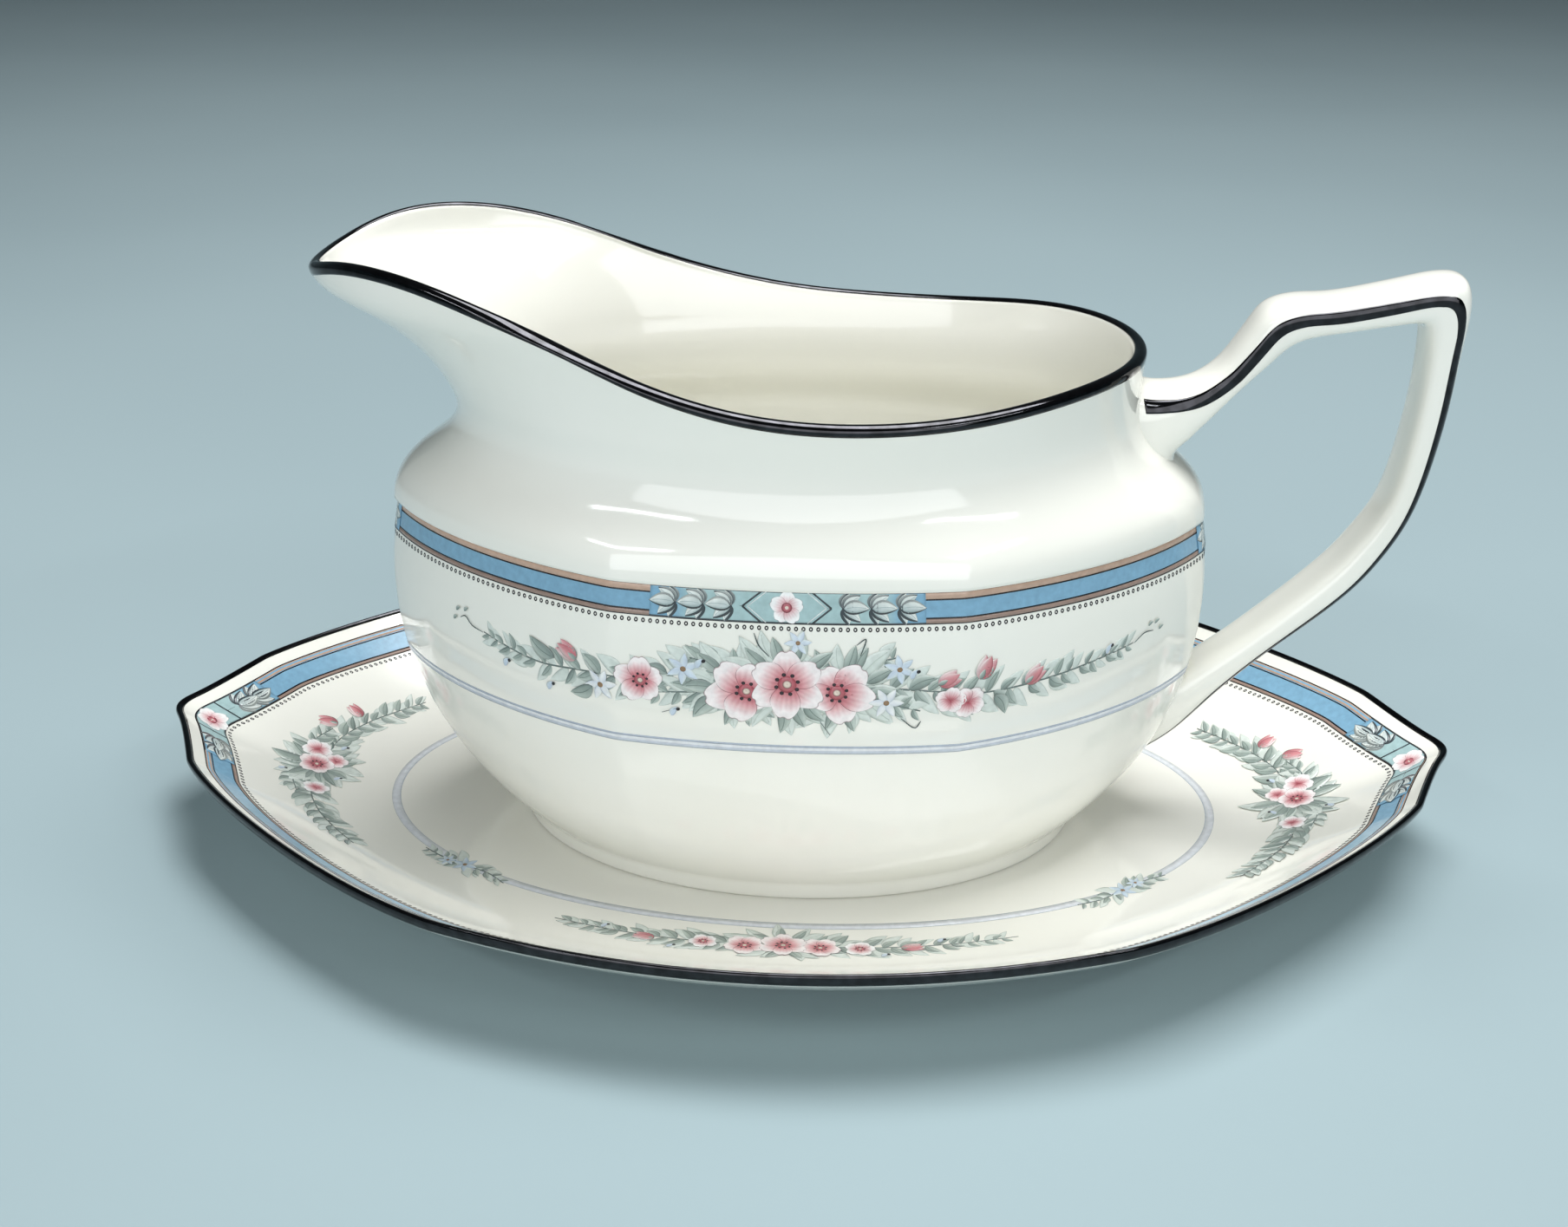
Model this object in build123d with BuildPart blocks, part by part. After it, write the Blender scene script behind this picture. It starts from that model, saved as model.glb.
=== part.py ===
from build123d import *
import os
from math import acos, asin, atan2, cos, pi, sin, tan

os.makedirs("parts", exist_ok=True)

# A sauce boat that stands loose on its own pointed oval underplate, both of bone china with a fired
# platinum line on every edge. Millimetres. The origin is on the table under the middle of the
# underplate, +X runs from the spout to the handle, and +Z is up.

# ---- driving dimensions of the underplate ----
PLATE_HALF_LENGTH = 116.0
PLATE_HALF_WIDTH = 78.4
PLATE_HEIGHT = 19.5
WELL_HALF_LENGTH = 75.0
WELL_HALF_WIDTH = 43.9
WELL_TOP = 4.5              # the level that the boat stands on
WELL_UNDER = 1.3
EDGE_THICKNESS = 2.2
PLATE_LINE_SHARE = 0.965    # where the platinum line starts, from 0 at the well to 1 at the edge
PLATE_FOOT_HALF = (69.0, 39.0)
PLATE_FOOT_WIDTH = 3.4

# One quarter of the underplate's edge as Bezier control points: half the rounded tip, the bracket,
# the long side from the bracket's shoulder to the break in it, and half the front.
TIP = [(116.4, 1.2), (114.8, 3.4)]
BRACKET = [(112.6, 7.0), (109.8, 13.6), (106.8, 20.9)]
SIDE = [(99.0, 33.5), (73.0, 59.0), (53.0, 68.2)]
FRONT = [(17.0, 81.8)]

# ---- driving dimensions of the boat ----
WALL = 2.7
FLOOR = 4.6                 # thickness of the bottom, foot recess included
FOOT_RECESS = 1.4
FOOT_RING = 3.0
BAND_LEDGE = 60.0           # height of the small step over the painted band
FACET_X = 27.5              # half-width of the front and back panels, at the belly
FACET_Y = 9.5               # half-width of the panels under the spout and the handle
BELLY = (69.8, 45.0)        # half-length and half-width that the two sizes above are given at
RIM_LINE = 1.7              # depth of the platinum line on the boat's lip
LIP_THINNING = 0.5          # how much thinner the wall is at the lip
INSIDE_SOFTNESS = 0.5       # how much of the panels' flatness shows inside

# Boat outlines: height over the foot, left end, right end, half-width, flatness of the panels.
BOWL = [
    (0.0, -50.6, 49.8, 36.1, 0.00),
    (3.2, -50.9, 50.1, 36.4, 0.00),
    (5.6, -54.0, 53.0, 38.2, 0.04),
    (9.0, -58.2, 56.8, 39.8, 0.10),
    (14.0, -62.6, 61.0, 41.4, 0.18),
    (20.0, -66.2, 64.4, 42.7, 0.25),
    (28.0, -69.2, 67.2, 44.0, 0.30),
    (34.0, -70.8, 68.7, 44.7, 0.31),
    (40.0, -71.6, 69.5, 45.2, 0.32),
    (46.0, -71.8, 69.8, 45.5, 0.32),
    (51.0, -71.5, 69.6, 45.5, 0.32),
    (56.0, -70.7, 68.9, 45.2, 0.32),
    (BAND_LEDGE, -69.9, 68.1, 44.9, 0.32),
]
NECK = [
    (BAND_LEDGE, -70.7, 68.6, 45.4, 0.30),
    (62.2, -70.6, 68.4, 45.2, 0.25),
    (64.4, -69.5, 67.5, 44.3, 0.20),
    (66.4, -67.3, 65.5, 42.8, 0.13),
    (68.4, -64.4, 62.8, 41.2, 0.06),
    (70.4, -61.7, 60.0, 39.9, 0.02),
    (73.0, -59.4, 57.6, 38.9, 0.00),
    (76.0, -58.6, 56.3, 38.6, 0.00),
    (79.0, -59.3, 56.0, 39.1, 0.00),
    (82.5, -61.2, 56.0, 40.1, 0.00),
    (86.0, -63.8, 56.2, 41.4, 0.00),
    (89.0, -66.9, 56.5, 42.5, 0.00),
    (91.5, -70.3, 56.8, 43.4, 0.00),
    (93.6, -74.0, 57.0, 44.0, 0.00),
    (95.2, -77.6, 57.2, 44.4, 0.00),
    (96.6, -80.5, 57.4, 44.7, 0.00),
    (98.2, -81.7, 57.6, 45.0, 0.00),
    (100.0, -82.1, 57.7, 45.2, 0.00),
    (102.0, -82.2, 57.8, 45.3, 0.00),
    (104.0, -82.3, 57.9, 45.4, 0.00),
    (106.0, -82.4, 58.0, 45.5, 0.00),
]
SPOUT_PINCH = 0.12          # how much the spout narrows between the bowl and its tip
PINCH_FROM, PINCH_TO = 80.0, 97.0

# The lip seen from the side: place along X, height over the foot.
LIP_CURVE = [
    (-90.0, 97.3), (-82.3, 99.2), (-75.0, 102.1), (-65.0, 103.2), (-49.0, 100.0), (-29.0, 92.4),
    (-7.0, 86.4), (12.0, 85.0), (30.0, 85.8), (46.0, 87.5), (60.0, 88.0), (80.0, 88.2),
]

# ---- driving dimensions of the handle ----
HANDLE_WIDTH = 11.4
HANDLE_OUTER_ROUND = 2.2
HANDLE_INNER_ROUND = 1.0
HANDLE_CORNER = 4.5
WINDOW_CORNER = 1.6
INSIDE_X = 40.0             # well inside the bowl, where the handle's outlines close
# Side view of the strap, place along X and height over the boat's foot: its outer edge.
UPPER_ROOT = [(INSIDE_X, 80.4), (56.0, 80.3), (63.0, 81.3), (68.4, 84.4), (72.0, 90.0), (75.2, 94.8),
              (80.0, 96.1), (86.0, 96.5), (96.0, 98.8)]
TOP_CORNER = (107.6, 101.0)
ARM_OUTER = [(106.6, 87.0), (105.7, 73.5), (102.7, 59.7), (93.3, 44.3), (80.5, 32.6), (68.8, 20.0),
             (62.4, 14.0), (54.0, 10.4)]
# The finger gap, which runs into the bowl's wall at both roots.
GUSSET = [(50.0, 60.0), (64.7, 72.7), (73.1, 81.8), (78.6, 87.5), (83.0, 89.9)]
WINDOW_TOP = (100.3, 92.8)
ARM_INNER = [(100.7, 79.0), (99.0, 64.3), (90.5, 50.0), (75.6, 35.0), (64.0, 26.0), (50.0, 18.0)]

EPS = 0.001                 # step, in radians, that an end tangent is measured over
TALL = 60.0                 # height of a cutting solid


def blend(a, b, share):
    return tuple(p + (q - p) * share for p, q in zip(a, b))


def arc_controls(point_at, start, end):
    """Bezier control points for the curve point_at(angle) between two angles."""
    reach = 4 / 3 * tan((end - start) / 4)
    controls = [point_at(start)]
    for angle, towards, edge in ((start, 1, EPS), (end, -1, -EPS)):
        here, near = point_at(angle), point_at(angle + edge)
        controls.append(tuple(p + towards * reach * (q - p) / edge for p, q in zip(here, near)))
    return controls + [point_at(end)]


# ---- outlines of the boat ----
FACET_TURN = acos(FACET_X / BELLY[0])
END_TURN = asin(FACET_Y / BELLY[1])
CORNERS = [-END_TURN, END_TURN, FACET_TURN, pi - FACET_TURN, pi - END_TURN,
           pi + END_TURN, pi + FACET_TURN, 2 * pi - FACET_TURN, 2 * pi - END_TURN]


def pinch_at(height):
    return SPOUT_PINCH * min(max((height - PINCH_FROM) / (PINCH_TO - PINCH_FROM), 0.0), 1.0)


def boat_spans(height, left, right, half_width, flatness):
    """Bezier control points of the outline's eight panels, each pulled towards its own chord."""
    squeeze = pinch_at(height)

    def smooth(angle):
        reach = right if cos(angle) > 0 else -left
        narrow = 1 - squeeze * sin(2 * angle) ** 2 if cos(angle) < 0 else 1
        return reach * cos(angle), half_width * sin(angle) * narrow

    spans = []
    for start, end in zip(CORNERS, CORNERS[1:]):
        bowed = arc_controls(smooth, start, end)
        chord = [blend(bowed[0], bowed[-1], i / 3) for i in range(4)]
        spans.append([blend(p, q, flatness) for p, q in zip(bowed, chord)])
    return spans


def stacked(outlines):
    """Lofts a solid through boat outlines given by their height over the foot."""
    with BuildPart() as solid:
        for outline in outlines:
            with BuildSketch(Plane.XY.offset(WELL_TOP + outline[0])):
                with BuildLine():
                    for controls in boat_spans(*outline):
                        Bezier(*controls)
                make_face()
        loft(ruled=True)
    return solid.part


def hollow_outlines(outlines):
    """The outlines moved in by the wall, square to the surface at both ends and the sides."""
    inner = []
    last = len(outlines) - 1
    for i, (height, left, right, half_width, flatness) in enumerate(outlines):
        below, above = outlines[max(i - 1, 0)], outlines[min(i + 1, last)]
        rise = above[0] - below[0]
        thickness = WALL - LIP_THINNING * height / outlines[-1][0]
        reaches = []
        for column, sign in ((1, -1), (2, 1), (3, 1)):
            lean = sign * (above[column] - below[column]) / rise
            reaches.append(sign * thickness * (1 + lean * lean) ** 0.5)
        softened = flatness * INSIDE_SOFTNESS
        inner.append((height, left - reaches[0], right - reaches[1], half_width - reaches[2], softened))
    return inner


# ---- outlines of the underplate ----
def flipped(span, sx, sy):
    points = [(sx * x, sy * y) for x, y in span]
    return points if sx * sy > 0 else points[::-1]


def plate_edge_spans():
    """Control points of the outer edge's twelve spans, anticlockwise from the tip at +X."""
    tip = flipped(TIP, 1, -1) + TIP
    bracket, side = [TIP[-1]] + BRACKET, [BRACKET[-1]] + SIDE
    front = [SIDE[-1]] + FRONT
    front += flipped(front, -1, 1)
    return [tip, bracket, side, front, flipped(side, -1, 1), flipped(bracket, -1, 1),
            flipped(tip, -1, -1), flipped(bracket, -1, -1), flipped(side, -1, -1), flipped(front, 1, -1),
            flipped(side, 1, -1), flipped(bracket, 1, -1)]


def well_arc(span):
    """The stretch of the well's oval that lies towards one span of the outer edge."""
    start, end = (atan2(y / PLATE_HALF_WIDTH, x / PLATE_HALF_LENGTH) for x, y in (span[0], span[-1]))
    if end < start:
        end += 2 * pi
    return arc_controls(lambda angle: (WELL_HALF_LENGTH * cos(angle), WELL_HALF_WIDTH * sin(angle)), start, end)


def plate_spans(share):
    """The plate's outline at a share of the way from the well, 0, to the edge, 1."""
    return [[blend(p, q, share) for p, q in zip(well_arc(span), span)] for span in plate_edge_spans()]


def dished(levels):
    """Lofts a solid through plate outlines given as share and height."""
    with BuildPart() as solid:
        for share, height in levels:
            with BuildSketch(Plane.XY.offset(height)):
                with BuildLine():
                    for controls in plate_spans(share):
                        Bezier(*controls)
                make_face()
        loft()
    return solid.part


def dish_height(share):
    return WELL_TOP + (PLATE_HEIGHT - WELL_TOP) * share ** 2


def prism(share):
    """An upright solid inside the plate's outline at a share, through the whole plate."""
    with BuildPart() as solid:
        with BuildSketch(Plane.XY):
            with BuildLine():
                for controls in plate_spans(share):
                    Bezier(*controls)
            make_face()
        extrude(amount=TALL, both=True)
    return solid.part


# ---- underplate ----
WELL_THICKNESS = WELL_TOP - WELL_UNDER
DISH_SHARES = [0.0, 0.2, 0.4, 0.6, 0.8, 1.0, 1.2]
thinning = WELL_THICKNESS - EDGE_THICKNESS
plate_under = dished([(s, dish_height(s) - WELL_THICKNESS + thinning * s) for s in DISH_SHARES])
plate_hollow = dished([(s, dish_height(s)) for s in DISH_SHARES])

with BuildPart() as whole_plate:
    add(plate_under)
    with BuildSketch(Plane.XY):
        Ellipse(*PLATE_FOOT_HALF)
        Ellipse(*[half - PLATE_FOOT_WIDTH for half in PLATE_FOOT_HALF], mode=Mode.SUBTRACT)
    extrude(amount=WELL_UNDER + WELL_THICKNESS / 2)
    add(plate_hollow, mode=Mode.SUBTRACT)
    add(prism(1.0), mode=Mode.INTERSECT)

with BuildPart() as underplate:
    add(whole_plate.part)
    add(prism(PLATE_LINE_SHARE), mode=Mode.INTERSECT)
underplate.part.label = "underplate"

with BuildPart() as underplate_rim_line:
    add(whole_plate.part)
    add(prism(PLATE_LINE_SHARE), mode=Mode.SUBTRACT)
underplate_rim_line.part.label = "underplate_rim_line"

# ---- boat ----
def below_lip(drop):
    """Everything under the lip curve lowered by drop."""
    with BuildPart() as solid:
        with BuildSketch(Plane.XZ):
            with BuildLine():
                lip = Spline(*[(x, WELL_TOP + z - drop) for x, z in LIP_CURVE])
                Polyline(lip @ 1, ((lip @ 1).X, 0), ((lip @ 0).X, 0), lip @ 0)
            make_face()
        extrude(amount=TALL, both=True)
    return solid.part


with BuildPart() as boat_outside:
    add(stacked(BOWL))
    add(stacked(NECK))

inside = [row for row in hollow_outlines(BOWL[:-1] + NECK[1:]) if row[0] > FLOOR]
inside[0] = (FLOOR, *inside[0][1:])
boat_inside = stacked(inside)

with BuildPart() as whole_boat:
    add(boat_outside.part)
    add(boat_inside, mode=Mode.SUBTRACT)
    with BuildSketch(Plane.XY.offset(WELL_TOP)):
        Ellipse(-BOWL[0][1] - FOOT_RING, BOWL[0][3] - FOOT_RING)
    extrude(amount=FOOT_RECESS, mode=Mode.SUBTRACT)
    add(below_lip(0.0), mode=Mode.INTERSECT)

with BuildPart() as boat_body:
    add(whole_boat.part)
    add(below_lip(RIM_LINE), mode=Mode.INTERSECT)
boat_body.part.label = "boat_body"

with BuildPart() as boat_rim_line:
    add(whole_boat.part)
    add(below_lip(RIM_LINE), mode=Mode.SUBTRACT)
boat_rim_line.part.label = "boat_rim_line"


# ---- handle ----
def raised(points):
    return [(x, WELL_TOP + height) for x, height in points]


with BuildPart() as boat_handle:
    with BuildSketch(Plane.XZ):
        with BuildLine():
            top = Spline(*raised(UPPER_ROOT + [TOP_CORNER]))
            arm = Spline(*raised([TOP_CORNER] + ARM_OUTER))
            Polyline(arm @ 1, (INSIDE_X, (arm @ 1).Y), top @ 0)
        make_face()
        fillet(vertices().sort_by(Axis.X)[-1], HANDLE_CORNER)
    extrude(amount=HANDLE_WIDTH / 2, both=True)
    fillet(faces().filter_by(Axis.Y).edges(), HANDLE_OUTER_ROUND)
    with BuildSketch(Plane.XZ):
        with BuildLine():
            gusset = Spline(*raised(GUSSET))
            corner = Line(gusset @ 1, raised([WINDOW_TOP])[0]) @ 1
            inner = Spline(corner, *raised(ARM_INNER))
            Line(inner @ 1, gusset @ 0)
        make_face()
        fillet(vertices().sort_by(Axis.X)[-1], WINDOW_CORNER)
    extrude(amount=HANDLE_WIDTH, both=True, mode=Mode.SUBTRACT)
    window = [edge for face in faces().filter_by(Axis.Y) for edge in face.inner_wires()[0].edges()]
    fillet([edge for edge in window if edge.center().X > INSIDE_X + 20], HANDLE_INNER_ROUND)
    add(boat_outside.part, mode=Mode.SUBTRACT)
boat_handle.part.label = "boat_handle"

for piece in (underplate, underplate_rim_line, boat_body, boat_rim_line, boat_handle):
    export_step(piece.part, f"parts/{piece.part.label}.step")
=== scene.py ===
import random
from math import acos, asin, atan2, ceil, copysign, cos, degrees, hypot, pi as PI, radians, sin, tan

import bpy
import numpy as np
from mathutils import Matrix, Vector
from mathutils.bvhtree import BVHTree


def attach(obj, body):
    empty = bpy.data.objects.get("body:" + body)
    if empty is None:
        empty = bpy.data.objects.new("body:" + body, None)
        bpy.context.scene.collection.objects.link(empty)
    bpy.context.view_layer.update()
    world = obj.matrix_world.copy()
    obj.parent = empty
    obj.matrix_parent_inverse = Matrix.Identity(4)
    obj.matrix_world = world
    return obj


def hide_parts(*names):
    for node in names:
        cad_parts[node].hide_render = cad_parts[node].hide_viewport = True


# A bone china gravy boat on its pointed oval underplate. The shapes repeat the CAD model's outlines
# with soft creases, rounded lips and a crowned handle, and the fired decoration lies on them as thin
# painted pieces. The china and its decoration are in millimetres, the studio and its lights in metres.

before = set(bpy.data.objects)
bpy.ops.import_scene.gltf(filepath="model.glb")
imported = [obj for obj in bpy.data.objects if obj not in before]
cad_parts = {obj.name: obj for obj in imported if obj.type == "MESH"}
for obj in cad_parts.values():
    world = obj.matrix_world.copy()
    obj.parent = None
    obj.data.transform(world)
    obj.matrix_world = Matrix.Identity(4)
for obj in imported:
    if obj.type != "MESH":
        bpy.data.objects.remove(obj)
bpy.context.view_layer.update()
MM = 0.001
chance = random.Random(11)

# ---- sizes of the underplate ----
PLATE_HALF_LENGTH, PLATE_HALF_WIDTH, PLATE_HEIGHT = 116.0, 78.4, 19.5
WELL_HALF_LENGTH, WELL_HALF_WIDTH = 75.0, 43.9
WELL_TOP, WELL_UNDER, EDGE_THICKNESS = 4.5, 1.3, 2.2
FOOT_HALF = (69.0, 39.0)
FOOT_WIDTH = 3.4
TIP = [(116.4, 1.2), (114.8, 3.4)]
BRACKET = [(112.6, 7.0), (109.8, 13.6), (106.8, 20.9)]
SIDE = [(99.0, 33.5), (73.0, 59.0), (53.0, 68.2)]
FRONT = [(17.0, 81.8)]

# ---- sizes of the boat ----
WALL, LIP_THINNING, FLOOR, FOOT_RECESS, FOOT_RING = 2.7, 0.5, 4.6, 1.4, 3.0
BAND_LEDGE = 60.0
FACET_X, FACET_Y, BELLY = 27.5, 9.5, (69.8, 45.0)
# the bowl and the neck: height over the foot, left, right, half-width, flatness of the panels
BOWL = [
    (0, -50.6, 49.8, 36.1, 0), (3.2, -50.9, 50.1, 36.4, 0), (5.6, -54, 53, 38.2, 0.04),
    (9, -58.2, 56.8, 39.8, 0.1), (14, -62.6, 61, 41.4, 0.18), (20, -66.2, 64.4, 42.7, 0.25),
    (28, -69.2, 67.2, 44, 0.3), (34, -70.8, 68.7, 44.7, 0.31), (40, -71.6, 69.5, 45.2, 0.32),
    (46, -71.8, 69.8, 45.5, 0.32), (51, -71.5, 69.6, 45.5, 0.32), (56, -70.7, 68.9, 45.2, 0.32),
    (60, -69.9, 68.1, 44.9, 0.32),
]
NECK = [
    (60, -70.7, 68.6, 45.4, 0.3), (62.2, -70.6, 68.4, 45.2, 0.25), (64.4, -69.5, 67.5, 44.3, 0.2),
    (66.4, -67.3, 65.5, 42.8, 0.13), (68.4, -64.4, 62.8, 41.2, 0.06), (70.4, -61.7, 60, 39.9, 0.02),
    (73, -59.4, 57.6, 38.9, 0), (76, -58.6, 56.3, 38.6, 0), (79, -59.3, 56, 39.1, 0),
    (82.5, -61.2, 56, 40.1, 0), (86, -63.8, 56.2, 41.4, 0), (89, -66.9, 56.5, 42.5, 0),
    (91.5, -70.3, 56.8, 43.4, 0), (93.6, -74, 57, 44, 0), (95.2, -77.6, 57.2, 44.4, 0),
    (96.6, -80.5, 57.4, 44.7, 0), (98.2, -81.7, 57.6, 45, 0), (100, -82.1, 57.7, 45.2, 0),
    (102, -82.2, 57.8, 45.3, 0), (104, -82.3, 57.9, 45.4, 0), (106, -82.4, 58, 45.5, 0),
]
SPOUT_PINCH, PINCH_FROM, PINCH_TO = 0.12, 80.0, 97.0
# the lip in side view: place along the boat, height over the foot
LIP_CURVE = [
    (-90, 97.3), (-82.3, 99.2), (-75, 102.1), (-65, 103.2), (-49, 100), (-29, 92.4), (-7, 86.4),
    (12, 85), (30, 85.8), (46, 87.5), (60, 88), (80, 88.2),
]

# ---- the handle: x and height of its outer edge, the same of its inner edge, flare into the bowl ----
HANDLE_HALF_WIDTH = 5.7
HANDLE = [
    (54.9, 80.3, 60.2, 68.4, 1.8), (57, 80.4, 62.6, 70.8, 0.8), (60, 80.8, 65, 73, 0.2),
    (64.2, 81.8, 67.8, 76, 0), (68.4, 84.6, 71.8, 80.8, 0), (71.9, 90, 75.9, 85, 0),
    (74.8, 94.5, 79.2, 88.3, 0), (79, 96.1, 82.2, 89.7, 0), (85.5, 96.5, 86.6, 90.6, 0),
    (95.8, 98.8, 94.8, 92, 0), (102.2, 100.3, 98.8, 92.6, 0), (105.8, 100, 100, 92.2, 0),
    (107.3, 96.6, 100.5, 90.6, 0), (106.8, 88, 100.8, 85.5, 0), (105.9, 76, 100.4, 76.3, 0),
    (102.9, 60.2, 98, 61.8, 0), (98.4, 51, 93.9, 54.5, 0), (93.3, 44.3, 89.6, 48.8, 0),
    (80.5, 32.6, 76.9, 36.4, 0), (73.4, 25.2, 71, 31.6, 0), (68.4, 19.5, 68.2, 29.4, 0.2),
    (64.4, 15.8, 66.6, 28, 0.7), (60.4, 13.2, 64.8, 26.8, 1.6),
]

# ---- colours, as seen on screen ----
INK, BROWN, TAN = (0.1, 0.1, 0.12), (0.52, 0.45, 0.42), (0.77, 0.65, 0.57)
BLUE, TEAL, GREYBLUE = (0.5, 0.67, 0.77), (0.66, 0.77, 0.77), (0.69, 0.73, 0.78)
LEAF, LEAF_DARK, LEAF_PALE = (0.68, 0.73, 0.69), (0.33, 0.39, 0.38), (0.86, 0.89, 0.86)
PINK, DEEP, BLUSH = (0.87, 0.62, 0.63), (0.66, 0.3, 0.34), (0.97, 0.94, 0.93)
WHITE, SKY, OCHRE = (0.97, 0.97, 0.96), (0.8, 0.86, 0.91), (0.72, 0.58, 0.42)


def linear(rgb):
    """Linear light for a colour given as it looks on screen."""
    c = np.asarray(rgb, float)
    return np.where(c <= 0.04045, c / 12.92, ((c + 0.055) / 1.055) ** 2.4)


def mix(a, b, share):
    a, b = np.asarray(a, float), np.asarray(b, float)
    return a + (b - a) * share


# ---- directions ----
def unit(v):
    return v / np.linalg.norm(v, axis=-1, keepdims=True)


def turned(angle):
    """Cosine and sine of an angle in degrees."""
    return cos(radians(angle)), sin(radians(angle))


def heading(x, y):
    """Direction of (x, y), in degrees."""
    return degrees(atan2(y, x))


# ---- curves ----
def spline_at(xs, ys, where):
    """Natural cubic spline through (xs, ys)."""
    x, y = np.asarray(xs, float), np.asarray(ys, float)
    n, h = len(x), np.diff(x)
    a, b = np.eye(n), np.zeros(n)
    for i in range(1, n - 1):
        a[i, i - 1 : i + 2] = h[i - 1], 2 * (h[i - 1] + h[i]), h[i]
        b[i] = 6 * ((y[i + 1] - y[i]) / h[i] - (y[i] - y[i - 1]) / h[i - 1])
    m = np.linalg.solve(a, b)
    q = np.clip(where, x[0], x[-1])
    i = np.clip(np.searchsorted(x, q, side="right") - 1, 0, n - 2)
    d, e = q - x[i], x[i + 1] - q
    cubic = (m[i] * e**3 + m[i + 1] * d**3) / (6 * h[i])
    return cubic + (y[i] / h[i] - m[i] * h[i] / 6) * e + (y[i + 1] / h[i] - m[i + 1] * h[i] / 6) * d


def softened(values, sigma, closed=False):
    """Gaussian smoothing along the first axis, which keeps the ends unless the curve is closed."""
    reach = int(ceil(3 * sigma))
    kernel = np.exp(-0.5 * (np.arange(-reach, reach + 1) / sigma) ** 2)
    kernel /= kernel.sum()
    v = np.asarray(values, float)
    if closed:
        padded = np.concatenate([v[-reach:], v, v[:reach]])
    else:
        padded = np.concatenate([2 * v[0] - v[reach:0:-1], v, 2 * v[-1] - v[-2 : -reach - 2 : -1]])
    return sum(k * padded[i : i + len(v)] for i, k in enumerate(kernel))


def arc_controls(point_at, start, end):
    reach = 4 / 3 * tan((end - start) / 4)
    tiny = 0.001
    controls = [point_at(start)]
    for angle, towards, edge in ((start, 1, tiny), (end, -1, -tiny)):
        here, near = point_at(angle), point_at(angle + edge)
        controls.append(tuple(p + towards * reach * (q - p) / edge for p, q in zip(here, near)))
    return controls + [point_at(end)]


def bezier(controls, steps):
    t = (np.arange(steps) / steps)[:, None]
    c = np.asarray(controls, float)
    return (1 - t) ** 3 * c[0] + 3 * (1 - t) ** 2 * t * c[1] + 3 * (1 - t) * t**2 * c[2] + t**3 * c[3]


# ---- outlines of the boat ----
FACET_TURN, END_TURN = acos(FACET_X / BELLY[0]), asin(FACET_Y / BELLY[1])
CORNERS = [-END_TURN, END_TURN, FACET_TURN, PI - FACET_TURN, PI - END_TURN,
           PI + END_TURN, PI + FACET_TURN, 2 * PI - FACET_TURN, 2 * PI - END_TURN]
PANEL_STEPS = [24, 68, 72, 68] * 2
BOAT_N = sum(PANEL_STEPS)
CREASE = 0.8  # softness of the panels' creases, in columns
BACK_COLUMN = 24 + 68 + 36
FRONT_COLUMN = BACK_COLUMN + BOAT_N // 2
SPOUT_COLUMN = 24 + 68 + 72 + 68 + 12
HANDLE_COLUMN = 12


def boat_ring(height, left, right, half_width, flatness):
    squeeze = SPOUT_PINCH * min(max((height - PINCH_FROM) / (PINCH_TO - PINCH_FROM), 0), 1)

    def smooth(angle):
        reach = right if cos(angle) > 0 else -left
        narrow = 1 - squeeze * sin(2 * angle) ** 2 if cos(angle) < 0 else 1
        return reach * cos(angle), half_width * sin(angle) * narrow

    spans = []
    for start, end, steps in zip(CORNERS, CORNERS[1:], PANEL_STEPS):
        bowed = np.array(arc_controls(smooth, start, end))
        chord = bowed[0] + (bowed[3] - bowed[0]) * (np.arange(4) / 3)[:, None]
        spans.append(bezier(bowed + (chord - bowed) * flatness, steps))
    return softened(np.vstack(spans), CREASE, closed=True)


def boat_skin(rows, grid, sigma):
    """Outlines at every height in grid, as points (height, column, xyz) with z over the table, and grid."""
    heights = [r[0] for r in rows]
    columns = [softened(np.interp(grid, heights, [r[k] for r in rows]), sigma) for k in range(1, 5)]
    rings = [boat_ring(h, *values) for h, *values in zip(grid, *columns)]
    z = np.repeat((WELL_TOP + grid)[:, None, None], BOAT_N, axis=1)
    return np.concatenate([np.array(rings), z], axis=2), grid


def hollowed(rows):
    """The rows moved in by the wall, square to the surface."""
    inner, last = [], len(rows) - 1
    for i, (height, left, right, half_width, flatness) in enumerate(rows):
        below, above = rows[max(i - 1, 0)], rows[min(i + 1, last)]
        thickness = WALL - LIP_THINNING * height / rows[-1][0]
        moved = []
        for k, sign in ((1, -1), (2, 1), (3, 1)):
            lean = (above[k] - below[k]) / (above[0] - below[0])
            moved.append(rows[i][k] - sign * thickness * hypot(1, lean))
        inner.append((height, *moved, flatness * 0.5))
    return inner


FINE = 0.25  # spacing of the skins' outlines, in height
SKIN_TOP = NECK[-1][0] + FINE / 2
bowl_skin = boat_skin(BOWL[1:], np.arange(3.2, BAND_LEDGE + FINE / 2, FINE), 5)
neck_skin = boat_skin(NECK, np.arange(BAND_LEDGE, SKIN_TOP, FINE), 4)
inner_rows = [r for r in hollowed(BOWL[:-1] + NECK[1:]) if r[0] > FLOOR]
inner_rows[0] = (FLOOR, *inner_rows[0][1:])
inner_skin = boat_skin(inner_rows, np.arange(FLOOR, SKIN_TOP, FINE), 6)


def rows_at(skin, heights):
    """Whole rings of a skin at the heights given, each height a number or one per column."""
    table, grid = skin
    at = np.interp(heights, grid, np.arange(len(grid)))
    at = np.broadcast_to(at[..., None] if np.ndim(at) < 2 else at, (len(at), table.shape[1]))
    k = np.minimum(at.astype(int), len(grid) - 2)
    share = (at - k)[..., None]
    columns = np.arange(table.shape[1])[None, :]
    return table[k, columns] * (1 - share) + table[k + 1, columns] * share


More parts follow.
